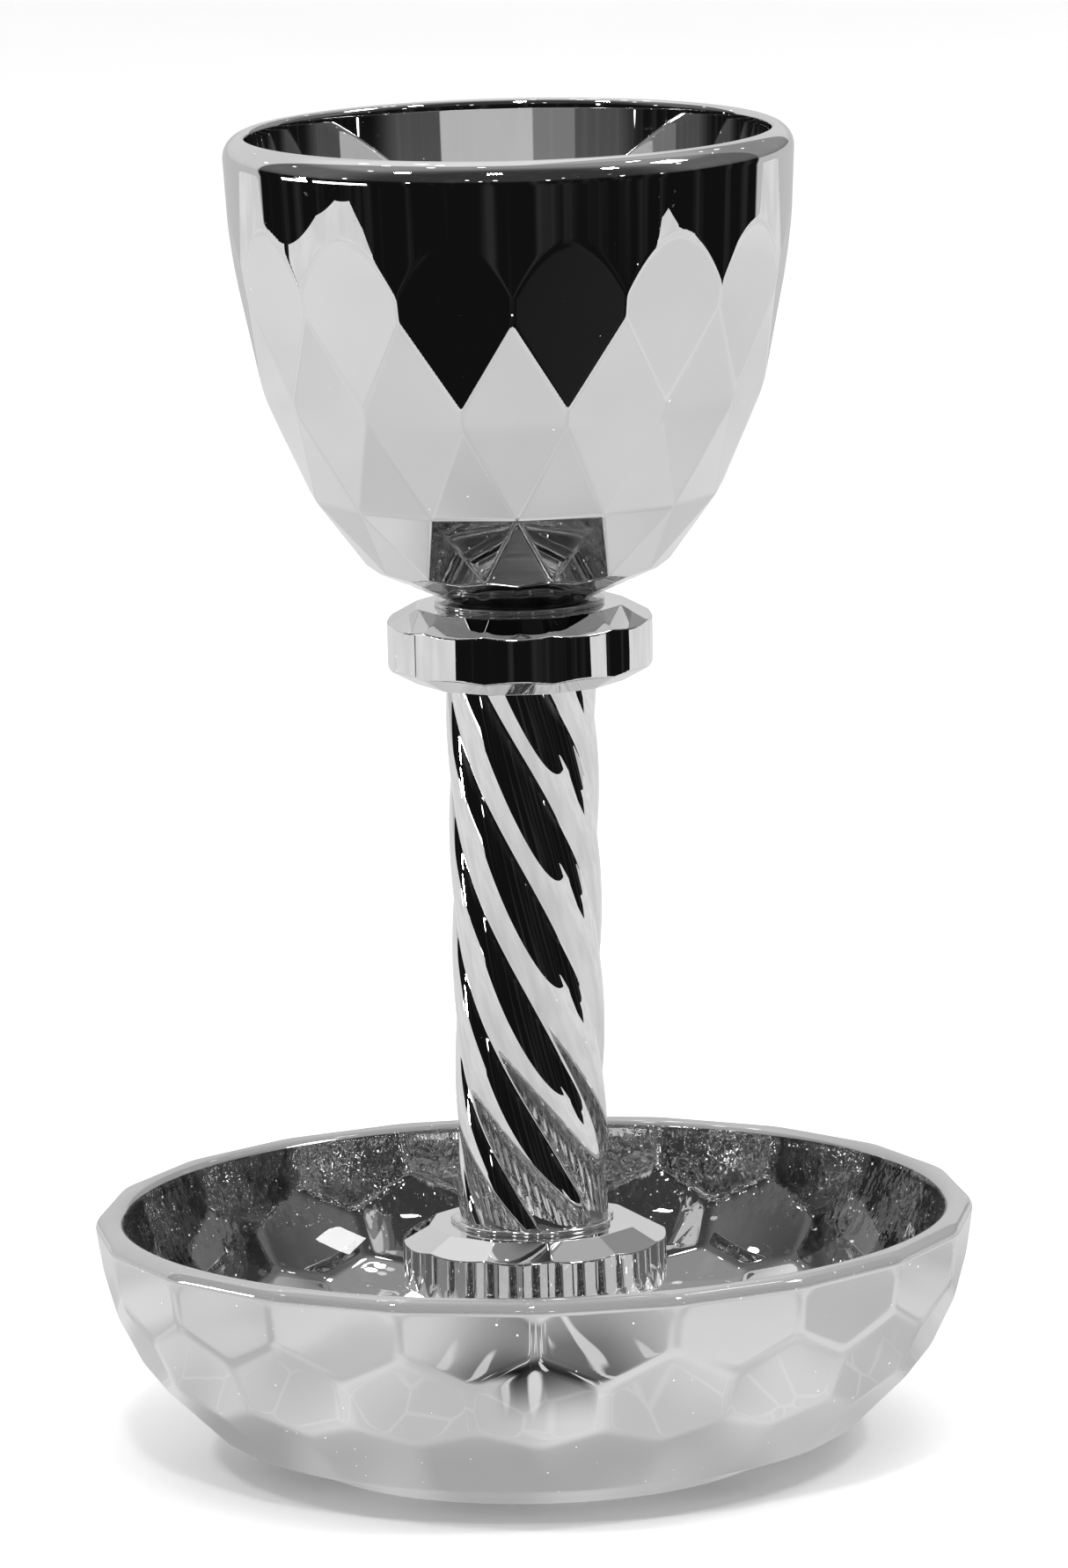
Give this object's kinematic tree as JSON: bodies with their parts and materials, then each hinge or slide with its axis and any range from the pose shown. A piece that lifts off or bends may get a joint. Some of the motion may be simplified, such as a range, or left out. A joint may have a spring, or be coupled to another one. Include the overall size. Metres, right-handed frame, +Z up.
{
  "type": "ciborium vessel",
  "caption": "Faceted mirror-finish goblet on a twisted stem, fixed between two bevelled discs in the middle of a honeycomb-cut dish that is its foot and catches drips.",
  "frame": {"origin": "centre of the dish's flat base, where the vessel stands", "axes": "+Z up along the stem's axis; the front faces -Y"},
  "size_m": [0.13, 0.13, 0.1968],
  "materials": {
    "cup_silvered": "polished cut glass with a bright silvered face",
    "disc_silvered": "polished, silvered, flat bevels",
    "stem_silvered": "polished, silvered, drawn and twisted",
    "dish_silvered": "thick pressed glass, silvered on its cut outside",
    "clear_glue": "clear glossy adhesive"
  },
  "bodies": {
    "root": {"dish": "dish_silvered", "foot_glue_film": "clear_glue", "foot_disc": "disc_silvered", "stem_glue_bead": "clear_glue", "stem": "stem_silvered", "collar_glue_film": "clear_glue", "collar": "disc_silvered", "cup_glue_ring": "clear_glue", "cup": "cup_silvered"}
  },
  "joints": []
}
